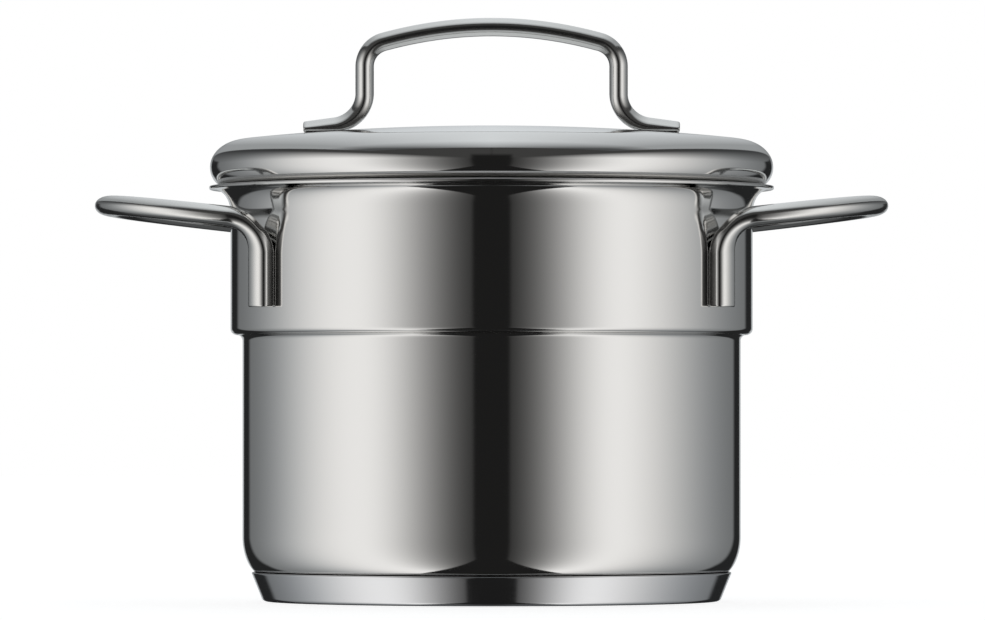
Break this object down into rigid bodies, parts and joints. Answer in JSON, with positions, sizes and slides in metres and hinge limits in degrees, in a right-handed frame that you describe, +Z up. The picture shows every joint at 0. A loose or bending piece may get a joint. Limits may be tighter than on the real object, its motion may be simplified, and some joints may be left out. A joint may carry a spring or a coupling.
{
  "type": "mini stockpot",
  "caption": "Small polished-steel stockpot with a stepped wall, pouring rim, encapsulated base, welded loop handles and a lift-off domed lid with an arch handle.",
  "frame": {"origin": "centre of the flat underside of the base, at the bottom of the whole pot", "axes": "+Z up along the pot's axis, +X along both side handles and the lid handle, -Y towards the viewer of the picture"},
  "size_m": [0.1848, 0.1316, 0.1359],
  "materials": {
    "polished_steel": "mirror polished outside, satin brushed inside",
    "lid_steel": "mirror polished outside, satin underneath",
    "handle_steel": "polished bar",
    "base_steel": "polished side, turned underside",
    "core_aluminium": "plain rolled disc",
    "weld_metal": "plain weld metal"
  },
  "bodies": {
    "pot": {"pot_body": "polished_steel", "base_cap": "base_steel", "base_core": "core_aluminium", "side_handle_right": "handle_steel", "side_handle_left": "handle_steel", "weld_right_front": "weld_metal", "weld_right_rear": "weld_metal", "weld_left_front": "weld_metal", "weld_left_rear": "weld_metal"},
    "lid": {"lid_shell": "lid_steel", "lid_handle": "handle_steel", "weld_lid_left": "weld_metal", "weld_lid_right": "weld_metal"}
  },
  "joints": [
    {"name": "lid_lift", "type": "slide", "parent": "pot", "child": "lid", "axis": [0, 0, 1], "range_m": [0, 0.08]}
  ]
}
